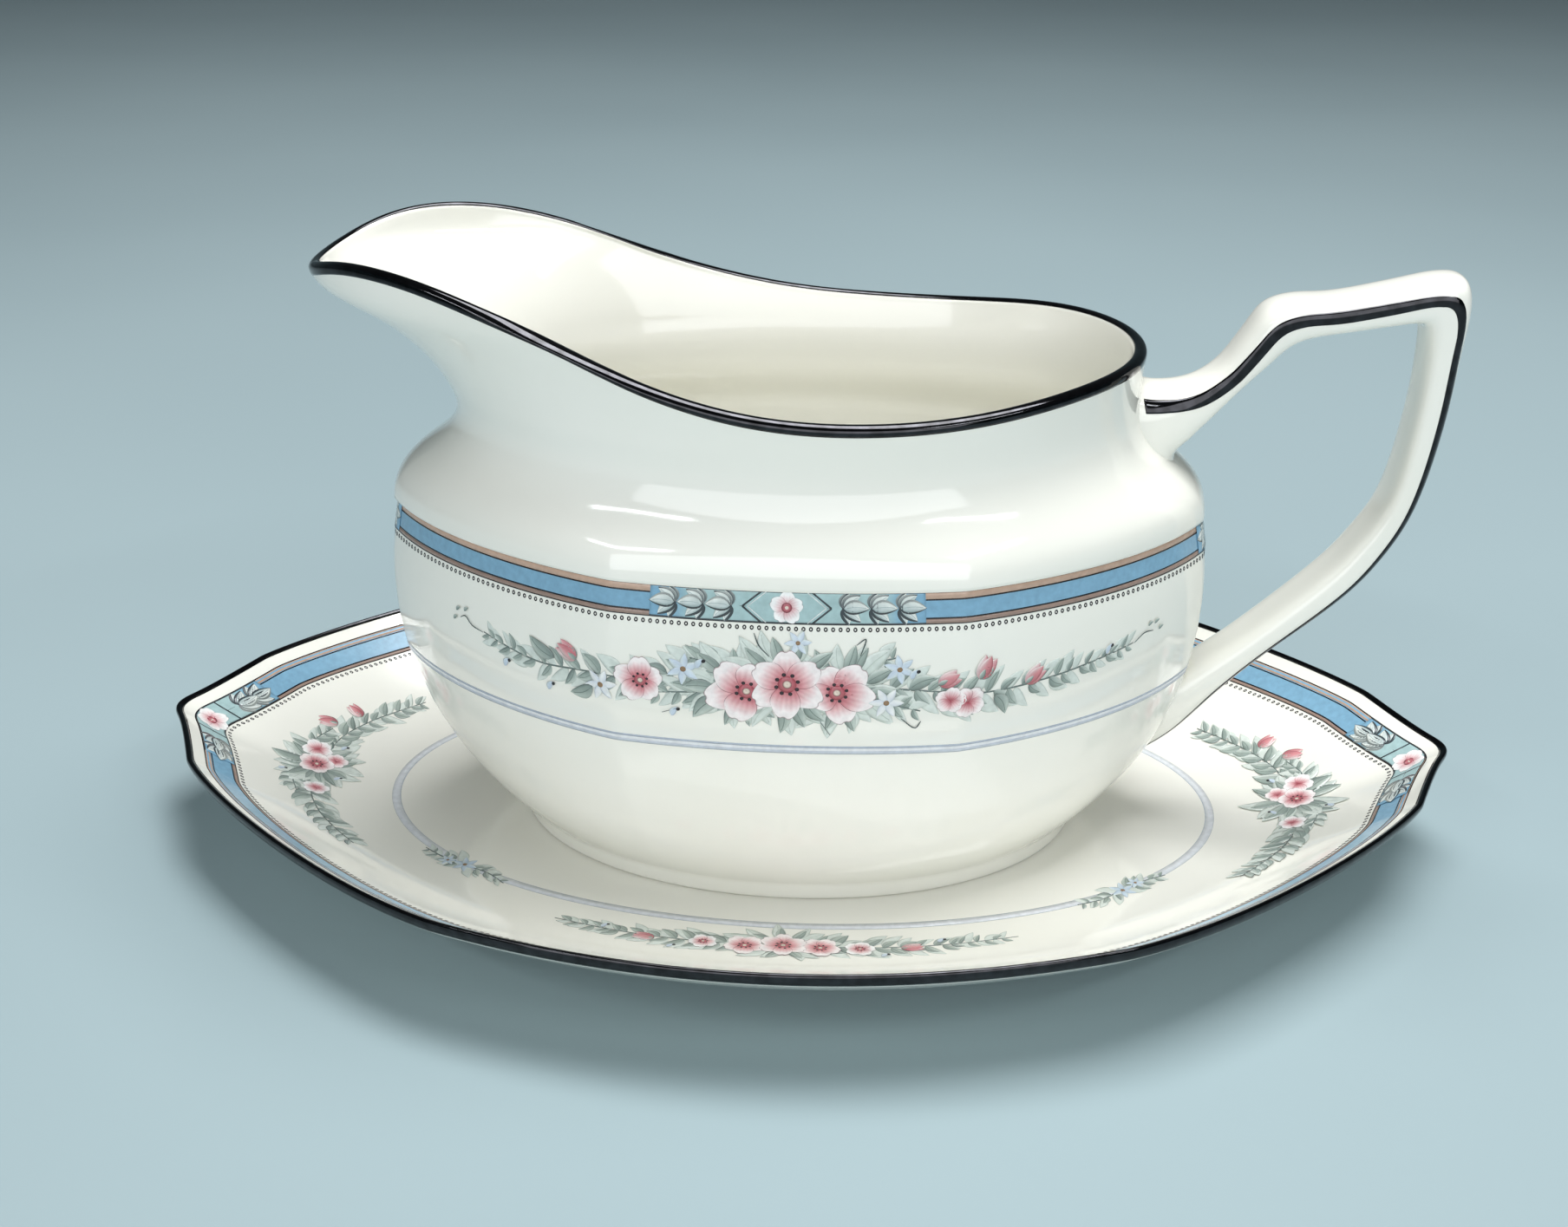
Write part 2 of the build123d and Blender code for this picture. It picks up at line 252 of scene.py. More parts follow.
def ring_at(skin, height):
    """One ring of a skin, at one height or at one per column."""
    return rows_at(skin, np.asarray(height)[None, ...])[0]


def lip_heights(skin):
    """The height at which each column of a skin meets the lip curve."""
    table, grid = skin
    over = grid[:, None] - spline_at(*zip(*LIP_CURVE), table[..., 0])
    k = np.argmax(over >= 0, axis=0)
    columns = np.arange(table.shape[1])
    low, high = over[k - 1, columns], over[k, columns]
    return softened(grid[k - 1] + FINE * -low / (high - low), 2, closed=True)


# ---- materials ----
class Finish:
    """A material and its nodes. Its noise lies in object space, with a scale in features per metre."""

    def __init__(self, name):
        self.material = bpy.data.materials.new(name)
        self.material.use_nodes = True
        tree = self.material.node_tree
        self.nodes, self.link = tree.nodes, tree.links.new
        self.inputs = tree.nodes["Principled BSDF"].inputs

    def noise(self, scale, detail):
        coords = self.nodes.new("ShaderNodeTexCoord")
        tex = self.nodes.new("ShaderNodeTexNoise")
        tex.inputs["Scale"].default_value, tex.inputs["Detail"].default_value = scale, detail
        self.link(coords.outputs["Object"], tex.inputs["Vector"])
        return tex.outputs["Fac"]

    def tint(self, socket, scale, detail, low, high):
        """Colour over noise, from low to high, each one given as a place in the noise and a colour."""
        ramp = self.nodes.new("ShaderNodeValToRGB")
        for element, (place, rgb) in zip(ramp.color_ramp.elements, (low, high)):
            element.position, element.color = place, (*linear(rgb), 1)
        self.link(self.noise(scale, detail), ramp.inputs["Fac"])
        self.link(ramp.outputs["Color"], socket)

    def roughness(self, scale, low, high):
        reach = self.nodes.new("ShaderNodeMapRange")
        reach.inputs["To Min"].default_value, reach.inputs["To Max"].default_value = low, high
        self.link(self.noise(scale, 3), reach.inputs["Value"])
        self.link(reach.outputs["Result"], self.inputs["Roughness"])


def china_material():
    china = Finish("bone_china")
    low, high = (0.3, (0.918, 0.914, 0.872)), (0.7, (0.932, 0.929, 0.893))
    china.tint(china.inputs["Base Color"], 22, 4, low, high)
    china.roughness(160, 0.06, 0.13)
    china.inputs["IOR"].default_value = 1.52
    china.inputs["Coat Weight"].default_value = 0.35
    china.inputs["Coat Roughness"].default_value = 0.04
    bump = china.nodes.new("ShaderNodeBump")
    bump.inputs["Strength"].default_value, bump.inputs["Distance"].default_value = 0.12, 0.0004
    china.link(china.noise(55, 2), bump.inputs["Height"])
    china.link(bump.outputs["Normal"], china.inputs["Normal"])
    return china.material


def enamel_material():
    enamel = Finish("fired_enamel")
    paint = enamel.nodes.new("ShaderNodeAttribute")
    paint.attribute_name = "Paint"
    grain = enamel.nodes.new("ShaderNodeMix")
    grain.data_type, grain.blend_type = "RGBA", "MULTIPLY"
    grain.inputs["Factor"].default_value = 1
    enamel.link(paint.outputs["Color"], grain.inputs["A"])
    enamel.tint(grain.inputs["B"], 900, 4, (0.3, (0.93, 0.93, 0.93)), (0.7, (1, 1, 1)))
    enamel.link(grain.outputs["Result"], enamel.inputs["Base Color"])
    enamel.roughness(300, 0.12, 0.22)
    enamel.inputs["IOR"].default_value = 1.5
    return enamel.material


def platinum_material():
    metal = Finish("fired_platinum")
    # painted reflection: the base colour is held dark in place of the dark surroundings that bright platinum
    # mirrors, and the lamps give its highlights
    low, high = (0.35, (0.19, 0.19, 0.195)), (0.65, (0.25, 0.25, 0.26))
    metal.tint(metal.inputs["Base Color"], 500, 4, low, high)
    metal.inputs["Metallic"].default_value = 1
    metal.roughness(700, 0.05, 0.12)
    return metal.material


CHINA, ENAMEL, PLATINUM = china_material(), enamel_material(), platinum_material()


# ---- meshes ----
def add_mesh(name, points, faces, finish, body, slot, nodes=(), paint=None, shell=0):
    mesh = bpy.data.meshes.new(name)
    mesh.from_pydata((np.asarray(points, float) * MM).tolist(), [], faces)
    mesh.update()
    mesh.shade_smooth()
    mesh.materials.append(finish)
    if paint is not None:
        layer = mesh.color_attributes.new("Paint", "FLOAT_COLOR", "POINT")
        layer.data.foreach_set("color", np.column_stack([paint, np.ones(len(paint))]).ravel())
    obj = bpy.data.objects.new(name, mesh)
    bpy.context.scene.collection.objects.link(obj)
    if shell:
        skin = obj.modifiers.new("shell", "SOLIDIFY")
        skin.thickness, skin.offset = shell * MM, -1
    if nodes:
        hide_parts(*nodes)
    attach(obj, body)
    return obj


def grid_faces(rows, columns, closed=True, start=0):
    faces = []
    last = columns if closed else columns - 1
    for r in range(rows - 1):
        a, b = start + r * columns, start + (r + 1) * columns
        for c in range(last):
            d = (c + 1) % columns
            faces.append((a + c, a + d, b + d, b + c))
    return faces


def closed_body(rings):
    """Points and faces of stacked closed rings, with a fan over each end."""
    count, n = rings.shape[:2]
    points = rings.reshape(-1, 3)
    faces = grid_faces(count, n)
    for ring, first, flip in ((rings[0], 0, True), (rings[-1], (count - 1) * n, False)):
        points = np.vstack([points, ring.mean(axis=0)])
        centre = len(points) - 1
        for c in range(n):
            d = (c + 1) % n
            faces.append((first + d, first + c, centre) if flip else (first + c, first + d, centre))
    return points, faces


def normals(grid, closed=True):
    """Unit normals of a grid of points, whose rows may be closed."""
    if closed:
        along = np.roll(grid, -1, axis=1) - np.roll(grid, 1, axis=1)
    else:
        along = np.gradient(grid, axis=1)
    return unit(np.cross(along, np.gradient(grid, axis=0)))


# ---- the boat ----
LIP_DROP = 1.1  # how far below the lip the wall starts to round over
CAP_STEPS = 14  # steps of the lip's rounding
NECK_STEPS = 23  # rings from the shoulder up to the lip's rounding, on either face
PLATINUM_LIFT = 0.05
lip_out, lip_in = lip_heights(neck_skin), lip_heights(inner_skin)
outer_end, inner_end = ring_at(neck_skin, lip_out - LIP_DROP), ring_at(inner_skin, lip_in - LIP_DROP)
rise = unit(outer_end - ring_at(neck_skin, lip_out - LIP_DROP - 0.6))
across, middle = (outer_end - inner_end) / 2, (outer_end + inner_end) / 2
outward = unit(across)
upward = unit(rise - outward * (rise * outward).sum(axis=1, keepdims=True))
cap_turns = np.linspace(0, PI, CAP_STEPS + 1)
cap = np.array([middle + across * cos(t) + upward * LIP_DROP * sin(t) for t in cap_turns])
foot = np.column_stack([boat_ring(*BOWL[0]), np.zeros(BOAT_N)])


def foot_ring_at(inset, height):
    ring = foot.copy()
    ring[:, :2] *= 1 - inset / np.linalg.norm(foot[:, :2], axis=1, keepdims=True)
    ring[:, 2] = WELL_TOP + height
    return ring


def neck_ring(skin, lip, step):
    """One of the rings from the shoulder up to the lip's rounding."""
    return ring_at(skin, shoulder[-1] + (lip - LIP_DROP - shoulder[-1]) * step / NECK_STEPS)


base = [foot_ring_at(0, FOOT_RECESS) * (s, s, 1) for s in (0.03, 0.25, 0.5, 0.75)]
base += [foot_ring_at(i, h) for i, h in (
    (FOOT_RING + 0.8, FOOT_RECESS), (FOOT_RING + 0.2, FOOT_RECESS - 0.15), (FOOT_RING, FOOT_RECESS - 0.5),
    (FOOT_RING - 0.1, 0.35), (FOOT_RING - 0.45, 0.05), (FOOT_RING - 0.9, 0), (1, 0), (0.55, 0.04),
    (0.25, 0.2), (0.1, 0.5), (0, 1), (-0.1, 1.9), (-0.2, 2.6))]
wall_heights = np.concatenate([np.arange(3.2, 9, 0.5), np.arange(9, BAND_LEDGE - 0.6, 1), [59.5, 59.8]])
shoulder = np.arange(61.2, 76.1, 0.7)
wall = [*rows_at(bowl_skin, wall_heights), *rows_at(neck_skin, np.array([60.15, 60.6, *shoulder]))]
wall += [neck_ring(neck_skin, lip_out, i) for i in range(1, NECK_STEPS + 1)]
inside = [neck_ring(inner_skin, lip_in, i) for i in range(NECK_STEPS, 0, -1)]
inside += list(rows_at(inner_skin, np.arange(76, FLOOR, -1.4)))
floor_ring = ring_at(inner_skin, FLOOR)
inside += [floor_ring * (s, s, 1) for s in (1, 0.97, 0.94, 0.9, 0.85, 0.78, 0.68, 0.5, 0.3, 0.12, 0.03)]
inside = np.array(inside)
CORNER_RINGS = 20  # rings over which the inside's bottom corner is rounded
CORNER_PASSES = 14
for _ in range(CORNER_PASSES):
    zone = inside[-CORNER_RINGS:]
    zone[1:-1] += (zone[:-2] + zone[2:] - 2 * zone[1:-1]) * 0.25
boat_rings = np.concatenate([base, wall, cap[1:-1], inside])
add_mesh("boat_china", *closed_body(boat_rings), CHINA, "boat", "china", nodes=["boat_body"])

RIM_DEPTH = 1.7  # depth of the platinum on the outside of the lip
CAP_COVERED = 12  # steps of the lip's rounding that carry platinum
rim = [ring_at(neck_skin, lip_out - d) for d in (RIM_DEPTH, (RIM_DEPTH + LIP_DROP) / 2)]
rim = np.array(rim + list(cap[:CAP_COVERED]))
rim += normals(rim) * PLATINUM_LIFT
add_mesh("boat_rim_platinum", rim.reshape(-1, 3), grid_faces(len(rim), BOAT_N), PLATINUM, "boat", "platinum",
         nodes=["boat_rim_line"], shell=0.12)


# ---- the handle ----
STATION_STEPS = 9
SECTION_N = 56
CAP_ROUND = 2.6  # exponent of the crowned outer side, and of the flatter inner side
BACK_ROUND = 3.6


def between(a, b, start, end, t):
    return (a * (end - t) + b * (t - start)) / (end - start)


def catmull(values, steps):
    """Centripetal Catmull-Rom through the rows of values, spaced by the first four numbers of each."""
    v = np.asarray(values, float)
    v = np.vstack([2 * v[0] - v[1], v, 2 * v[-1] - v[-2]])
    out = []
    for i in range(1, len(v) - 2):
        p0, p1, p2, p3 = v[i - 1 : i + 3]
        gaps = [np.linalg.norm((b - a)[:4]) ** 0.5 for a, b in ((p0, p1), (p1, p2), (p2, p3))]
        t1, t2, t3 = np.cumsum(gaps)
        for t in np.linspace(t1, t2, steps, endpoint=False):
            a1, a2, a3 = between(p0, p1, 0, t1, t), between(p1, p2, t1, t2, t), between(p2, p3, t2, t3, t)
            out.append(between(between(a1, a2, 0, t2, t), between(a2, a3, t1, t3, t), t1, t2, t))
    return np.array(out + [v[-2]])


stations = softened(catmull(HANDLE, STATION_STEPS), 2)
outer_edge, inner_edge = (
    np.column_stack([stations[:, k], np.zeros(len(stations)), WELL_TOP + stations[:, k + 1]]) for k in (0, 2))
strap_middle, strap_half = (outer_edge + inner_edge) / 2, (outer_edge - inner_edge) / 2
strap_reach = np.linalg.norm(strap_half, axis=1, keepdims=True)
flare = stations[:, 4:5]


def superellipse(turn, exponent):
    c, s = cos(turn), sin(turn)
    power = 2 / exponent
    return copysign(abs(c) ** power, c), copysign(abs(s) ** power, s)


def section_point(turn):
    """One point of every section: turn 0 is at -Y, a quarter turn at the outer edge."""
    y, e = superellipse(turn, CAP_ROUND if sin(turn) > 0 else BACK_ROUND)
    p = strap_middle + strap_half / strap_reach * (strap_reach + flare) * e
    p[:, 1] = -y * (HANDLE_HALF_WIDTH + flare[:, 0])
    return p


NEAR_COLUMNS = 60  # columns to either side of the handle's end that its seat can reach


def wall_x(y, z):
    """How far out the bowl's wall is at the handle's end, at y and at z over the table."""
    height = z - WELL_TOP
    table, grid = neck_skin if height > BAND_LEDGE else bowl_skin
    k = int(np.clip(round((height - grid[0]) / FINE), 0, len(grid) - 1))
    near = np.roll(table[k], NEAR_COLUMNS, axis=0)[: 2 * (NEAR_COLUMNS + HANDLE_COLUMN)]
    return np.interp(y, near[:, 1], near[:, 0])


SEAT_ROWS = 16  # sections over which the strap settles onto the bowl's wall
SEAT_DEPTH, SEAT_REACH = -1.2, 3.2  # distance from the wall at the first section, and after the last


def seated(rows):
    """The same rows of points along the strap, with both ends moved out or in to sit on the bowl's wall."""
    rows = rows.copy()
    for k in range(SEAT_ROWS):
        share = k / SEAT_ROWS
        for row in (rows[k], rows[-1 - k]):
            seat = np.array([wall_x(y, z) for _, y, z in row])
            seat = seat + SEAT_DEPTH + (SEAT_REACH - SEAT_DEPTH) * share
            row[:, 0] += (seat - row[:, 0]) * (1 - share) ** 1.5
    return rows


section = np.array([section_point(2 * PI * (i + 0.5) / SECTION_N) for i in range(SECTION_N)])
add_mesh("boat_handle_china", *closed_body(seated(section.transpose(1, 0, 2))), CHINA, "boat", "china",
         nodes=["boat_handle"])

last = len(stations)
LINE_FROM, LINE_TO = 5, last - 5  # stations between which the platinum line runs
count = np.arange(last)
line_half = np.interp(count, [0, 60, 100, 112, 135, last], [1.05, 1, 1, 0.75, 0.68, 0.4])
# its place on the side, from the middle towards the outer edge
line_centre = np.interp(count, [0, 14, 27, 38, 95, 112, 135, last],
                        [0.6, 0.46, 0.26, 0.1, 0.14, 0.4, 0.55, 0.78])
for side, name in ((1, "near"), (-1, "far")):
    rows = []
    half, widening = strap_reach[:, 0], flare[:, 0]
    for k in np.linspace(-1, 1, 7):
        e = np.clip(line_centre + k * line_half / half, -0.95, 0.95)
        exponent = np.where(e > 0, CAP_ROUND, BACK_ROUND)
        y = (1 - np.abs(e) ** exponent) ** (1 / exponent)
        p = strap_middle + strap_half * (e * (1 + widening / half))[:, None]
        p[:, 1] = -side * y * (HANDLE_HALF_WIDTH + widening)
        rows.append(p)
    rows = seated(np.array(rows).transpose(1, 0, 2)).transpose(1, 0, 2)
    strip = rows[::side, LINE_FROM:LINE_TO]
    strip = strip + normals(strip, closed=False) * PLATINUM_LIFT
    faces = grid_faces(*strip.shape[:2], closed=False)
    add_mesh(f"handle_platinum_{name}", strip.reshape(-1, 3), faces, PLATINUM, "boat", "platinum", shell=0.08)


# ---- the underplate ----
def flipped(span, sx, sy):
    pts = [(sx * x, sy * y) for x, y in span]
    return pts if sx * sy > 0 else pts[::-1]


tip = flipped(TIP, 1, -1) + TIP
bracket, side_span = [TIP[-1]] + BRACKET, [BRACKET[-1]] + SIDE
front_span = [SIDE[-1]] + FRONT
front_span += flipped(front_span, -1, 1)
far_spans = [tip, bracket, side_span, front_span, flipped(side_span, -1, 1), flipped(bracket, -1, 1)]
EDGE_SPANS = far_spans + [flipped(span, -1, -1) for span in far_spans]
SPAN_STEPS = [6, 28, 78, 108, 78, 28] * 2
PLATE_N = sum(SPAN_STEPS)
RIGHT_COLUMN = 3
PLATE_BACK_COLUMN = 6 + 28 + 78 + 54
LEFT_COLUMN = RIGHT_COLUMN + PLATE_N // 2
PLATE_FRONT_COLUMN = PLATE_BACK_COLUMN + PLATE_N // 2


def well_arc(span):
    start, end = (atan2(y / PLATE_HALF_WIDTH, x / PLATE_HALF_LENGTH) for x, y in (span[0], span[-1]))
    if end < start:
        end += 2 * PI
    return arc_controls(lambda a: (WELL_HALF_LENGTH * cos(a), WELL_HALF_WIDTH * sin(a)), start, end)


edge_ring = softened(np.vstack([bezier(s, n) for s, n in zip(EDGE_SPANS, SPAN_STEPS)]), 0.9, closed=True)
well_ring = np.vstack([bezier(well_arc(s), n) for s, n in zip(EDGE_SPANS, SPAN_STEPS)])


def plate_ring(share, z):
    ring = well_ring + (edge_ring - well_ring) * share
    return np.column_stack([ring, np.full(PLATE_N, z)])


def dish_height(share):
    return WELL_TOP + (PLATE_HEIGHT - WELL_TOP) * share**2


def under_height(share):
    thickness = WELL_TOP - WELL_UNDER
    return dish_height(share) - thickness + (thickness - EDGE_THICKNESS) * share


TOP_END = 0.975  # share at which the edge starts to round over
shares = np.linspace(0, TOP_END, 42)
well_scales = (0.03, 0.2, 0.4, 0.6, 0.75, 0.87, 0.95)
top = [plate_ring(0, WELL_TOP) * (s, s, 1) for s in well_scales]
top += [plate_ring(s, dish_height(s)) for s in shares]
edge_middle = (top[-1] + plate_ring(TOP_END, under_height(TOP_END))) / 2
edge_up = top[-1] - edge_middle
edge_out = plate_ring(1, PLATE_HEIGHT - EDGE_THICKNESS / 2) - edge_middle
edge_cap = np.array([edge_middle + edge_up * cos(t) + edge_out * sin(t) for t in cap_turns])
under = [plate_ring(s, under_height(s)) for s in shares[::-1]]


def foot_oval(inset, z):
    scale = [(h - inset) / w for h, w in zip(FOOT_HALF, (WELL_HALF_LENGTH, WELL_HALF_WIDTH))]
    return plate_ring(0, z) * (*scale, 1)


half_foot = [(-0.9, WELL_UNDER), (-0.35, WELL_UNDER - 0.1), (-0.1, WELL_UNDER - 0.35), (0, 0.45),
             (0.25, 0.12), (0.7, 0)]
foot_profile = half_foot + [(FOOT_WIDTH - i, z) for i, z in half_foot[::-1]]
under += [foot_oval(i, z) for i, z in foot_profile]
under += [plate_ring(0, WELL_UNDER) * (s, s, 1) for s in (0.7, 0.5, 0.3, 0.1, 0.03)]
plate_rings = np.concatenate([top, edge_cap[1:-1], under])[::-1]
add_mesh("underplate_china", *closed_body(plate_rings), CHINA, "underplate", "china", nodes=["underplate"])
RIM_SHARE = 0.965  # share from which the dish carries platinum
plate_rim = np.concatenate([[plate_ring(RIM_SHARE, dish_height(RIM_SHARE))], edge_cap[: CAP_STEPS - 1]])[::-1]
plate_rim = plate_rim + normals(plate_rim) * PLATINUM_LIFT
add_mesh("underplate_rim_platinum", plate_rim.reshape(-1, 3), grid_faces(len(plate_rim), PLATE_N), PLATINUM,
         "underplate", "platinum", nodes=["underplate_rim_line"], shell=0.12)


# ---- charts: places on a surface in millimetres, along it and across it ----
class Chart:
    def __init__(self, table, values, reference):
        self.points, self.values = table, np.asarray(values, float)
        self.normals = normals(table)
        ring = table[reference]
        step = np.linalg.norm(np.roll(ring, -1, axis=0) - ring, axis=1)
        self.arc = np.concatenate([[0], np.cumsum(step)])

    def place(self, centre, along, across, lift):
        n = self.points.shape[1]
        column = np.interp((self.arc[centre] + along) % self.arc[-1], self.arc, np.arange(n + 1))
        i = np.minimum(column.astype(int), n - 1)
        t = (column - i)[..., None]
        j = (i + 1) % n
        row = np.interp(across, self.values, np.arange(len(self.values)))
        k = np.minimum(row.astype(int), len(self.values) - 2)
        s = (row - k)[..., None]
        out = []
        for grid in (self.points, self.normals):
            low = grid[k, i] * (1 - t) + grid[k, j] * t
            high = grid[k + 1, i] * (1 - t) + grid[k + 1, j] * t
            out.append(low * (1 - s) + high * s)
        return out[0] + out[1] * lift

    def at(self, centre, base=0):
        return lambda along, across, lift: self.place(centre, along, base + across, lift)


boat_chart = Chart(*bowl_skin, int((50 - bowl_skin[1][0]) / FINE))
fine_shares = np.linspace(1, 0, 260)
fine_plate = np.array([plate_ring(s, dish_height(s)) for s in fine_shares])
dish_steps = np.linalg.norm(np.diff(fine_plate, axis=0), axis=2)
from_edge = np.concatenate([np.zeros((1, PLATE_N)), np.cumsum(dish_steps, axis=0)])
EDGE_REACH = np.arange(0, 30, 0.25)
inward = np.array([[np.interp(EDGE_REACH, from_edge[:, c], fine_plate[:, c, k]) for k in range(3)]
                   for c in range(PLATE_N)]).transpose(2, 0, 1)
plate_chart = Chart(inward, EDGE_REACH, 30)
plate_points = [Vector(p) for p in fine_plate.reshape(-1, 3)]
plate_tree = BVHTree.FromPolygons(plate_points, grid_faces(len(fine_plate), PLATE_N))


def plan(x0, y0, turn):
    """Places on the dish from above: origin x0, y0, with the local x axis turned by that many degrees."""
    c, s = turned(turn)

    def place(u, v, lift):
        flat = np.stack([x0 + u * c - v * s, y0 + u * s + v * c], -1)
        out = np.empty(flat.shape[:-1] + (3,))
        for index in np.ndindex(flat.shape[:-1]):
            hit, normal, _, _ = plate_tree.ray_cast(Vector((*flat[index], 90)), Vector((0, 0, -1)))
            if hit is None:
                hit, normal = Vector((*flat[index], WELL_TOP)), Vector((0, 0, 1))
            out[index] = hit + (normal if normal.z > 0 else -normal) * lift
        return out

    return place


# ---- painting ----
def levels(along, across):
    """A grid of places: the same ones along, at each level across."""
    return np.stack(np.meshgrid(along, across), -1)


FIRST_COAT, COAT = 0.035, 0.0004  # lift of the first brush stroke, and of each one over the last


class Painting:
    """One piece of decoration: brush strokes laid over each other on a surface."""

    def __init__(self, coats=0):
        self.points, self.paint, self.faces, self.count, self.coats = [], [], [], 0, coats

    def sheet(self, place, xy, rgb, closed=False, lift=None):
        rows, columns = xy.shape[:2]
        if lift is None:
            lift = FIRST_COAT + COAT * self.coats
            self.coats += 1
        self.points.append(place(xy[..., 0], xy[..., 1], lift).reshape(-1, 3))
        self.paint.append(linear(np.broadcast_to(rgb, (rows, columns, 3))).reshape(-1, 3))
        self.faces += grid_faces(rows, columns, closed, self.count)
        self.count += rows * columns

    def build(self, name, body):
        return add_mesh(name, np.vstack(self.points), self.faces, ENAMEL, body, "china",
                        paint=np.vstack(self.paint), shell=0.03)


class Brush:
    """Draws on one painting at one place, turned and mirrored as asked."""

    def __init__(self, painting, place, flip=1):
        self.painting, self.where, self.flip = painting, place, flip

    def sheet(self, x, y, turn, xy, rgb, closed=False):
        c, s = turned(turn)
        u = x + xy[..., 0] * c - xy[..., 1] * s
        v = y + xy[..., 0] * s + xy[..., 1] * c
        grid = np.stack([u * self.flip, v], -1)
        if self.flip < 0:
            grid = grid[::-1]
            rgb = np.broadcast_to(rgb, xy.shape[:2] + (3,))[::-1]
        self.painting.sheet(self.where, grid, rgb, closed)

    def disc(self, x, y, radius, colour, edge=None, squash=1, turn=0):
        a = np.linspace(0, 2 * PI, 12, endpoint=False)
        r = np.array([1, 0.55, 0.02])[:, None] * radius
        xy = np.stack([r * np.cos(a), r * np.sin(a) * squash], -1)
        rgb = np.array([colour if edge is None else edge, colour, colour])[:, None, :]
        self.sheet(x, y, turn, xy, rgb, closed=True)

    def stroke(self, pts, width, colour, taper=0.25):
        """A line through the points, thinner at both ends."""
        p = np.asarray(pts, float)
        if len(p) > 2:
            p = catmull(p, 5)
        t = np.gradient(p, axis=0)
        n = unit(np.stack([-t[:, 1], t[:, 0]], -1))
        share = np.linspace(0, 1, len(p))
        w = width / 2 * (taper + (1 - taper) * np.sin(PI * share) ** 0.6)
        self.sheet(0, 0, 0, np.stack([p + n * (w * k)[:, None] for k in (-1, 0, 1)]), colour)

    def leaf(self, x, y, turn, length, width=0.42, bend=0.12, light=LEAF, dark=LEAF_DARK, vein=True):
        """A pointed leaf from its stem end, one half in shade, with a pale vein."""
        t = np.linspace(0, 1, 9)
        half = length * width / 2 * np.sin(PI * t**0.8) ** 0.85
        spine = np.stack([length * t, length * bend * np.sin(PI * t)], -1)
        ks = np.array([-1, -0.55, 0, 0.55, 1])
        xy = np.stack([spine + np.stack([np.zeros(9), half * k], -1) for k in ks])
        tone = chance.uniform(-0.12, 0.12)
        shade = [mix(light, dark, 0.62 + tone), mix(light, dark, 0.3 + tone), mix(light, dark, 0.12),
                 mix(light, LEAF_PALE, 0.35 + tone), mix(light, LEAF_PALE, 0.75 + tone)]
        rgb = np.array([[mix(s, dark, 0.45 * (1 - u) ** 2) for u in t] for s in shade])
        self.sheet(x, y, turn, xy, rgb)
        if vein:
            v = np.stack([spine[1:-1] + np.array([0, k * length * 0.012]) for k in (-1, 1)])
            self.sheet(x, y, turn, v, mix(dark, light, 0.25))

    def petal(self, x, y, turn, length, wide, deep, mid, edge):
        """One petal from its claw out: deep there, pale at the notched rim, with rays and a thin edge."""
        t = np.array([0, 0.16, 0.32, 0.48, 0.64, 0.8, 0.93, 0.965, 1])
        k = np.array([-1, -0.95, -0.78, -0.6, -0.42, -0.25, -0.08, 0.08, 0.25, 0.42, 0.6, 0.78, 0.95, 1])
        reach = 1 - 0.07 * np.exp(-((k / 0.2) ** 2)) - 0.3 * np.abs(k) ** 2.6
        reach = reach + chance.uniform(-0.04, 0.04) * k
        width = length * wide * (0.16 + 0.84 * np.sin(PI * (0.06 + 0.62 * t)) ** 1.1)
        xy = np.stack([length * np.outer(reach, t), np.outer(k, width)], -1)
        rgb = np.empty(xy.shape[:2] + (3,))
        for i, a in enumerate(k):
            for j, u in enumerate(t):
                share = min(max(u - 0.4, 0) / 0.38, 1) ** 0.8
                c = mix(deep, mid, u / 0.4) if u < 0.4 else mix(mid, edge, share)
                c = mix(c, deep, 0.42 * (i % 2) * max(0, 0.86 - u))
                c = mix(c, mix(mid, deep, 0.3), 0.3 * max(0, abs(a) - 0.7) / 0.3 * (1 - u))
                if j == len(t) - 1 or i in (0, len(k) - 1):
                    c = mix(c, mix(deep, INK, 0.55), 0.62)
                rgb[i, j] = c
        self.sheet(x, y, turn, xy, rgb)

    def flower(self, x, y, radius, turn=0, petals=5, squash=1, deep=DEEP, mid=PINK, edge=BLUSH, centre=True,
               lean=0):
        """An open flower of overlapping petals round its stamens, its centre moved by lean to tilt it."""
        for k in list(range(0, petals, 2)) + list(range(1, petals, 2)):
            c, s = turned(turn + 360 * k / petals + chance.uniform(-5, 5))
            tip = radius * c - lean, radius * squash * s
            length = hypot(*tip) * chance.uniform(0.95, 1.03)
            wide = 2.35 / petals * radius / max(length, 0.6 * radius)
            self.petal(x + lean, y, heading(*tip), length, wide, deep, mid, edge)
        if centre:
            self.disc(x + lean, y, radius * 0.24, mix(DEEP, PINK, 0.35), edge=DEEP, squash=squash)
            for k in range(8):
                a = 2 * PI * k / 8 + 0.3
                u, v = radius * 0.28 * cos(a), radius * 0.28 * squash * sin(a)
                self.disc(x + u + lean, y + v, radius * 0.055, mix(INK, DEEP, 0.15))
            self.disc(x + lean, y, radius * 0.12, mix(BLUSH, OCHRE, 0.35), mix(DEEP, INK, 0.3), squash)

    def bud(self, x, y, turn, size):
        """A closed bud, with two sepals at its stem end and pink petals folded over each other."""
        self.leaf(x, y, turn + 24, size * 0.9, 0.34, 0.15, vein=False)
        self.leaf(x, y, turn - 24, size * 0.9, 0.34, -0.15, vein=False)
        for k, share in ((-16, 0.2), (14, 0.5), (0, 0)):
            self.leaf(x, y, turn + k, size * 1.25, 0.52, 0, mix(PINK, BLUSH, share), DEEP, vein=False)
        self.leaf(x, y, turn, size * 0.55, 0.5, 0, vein=False)

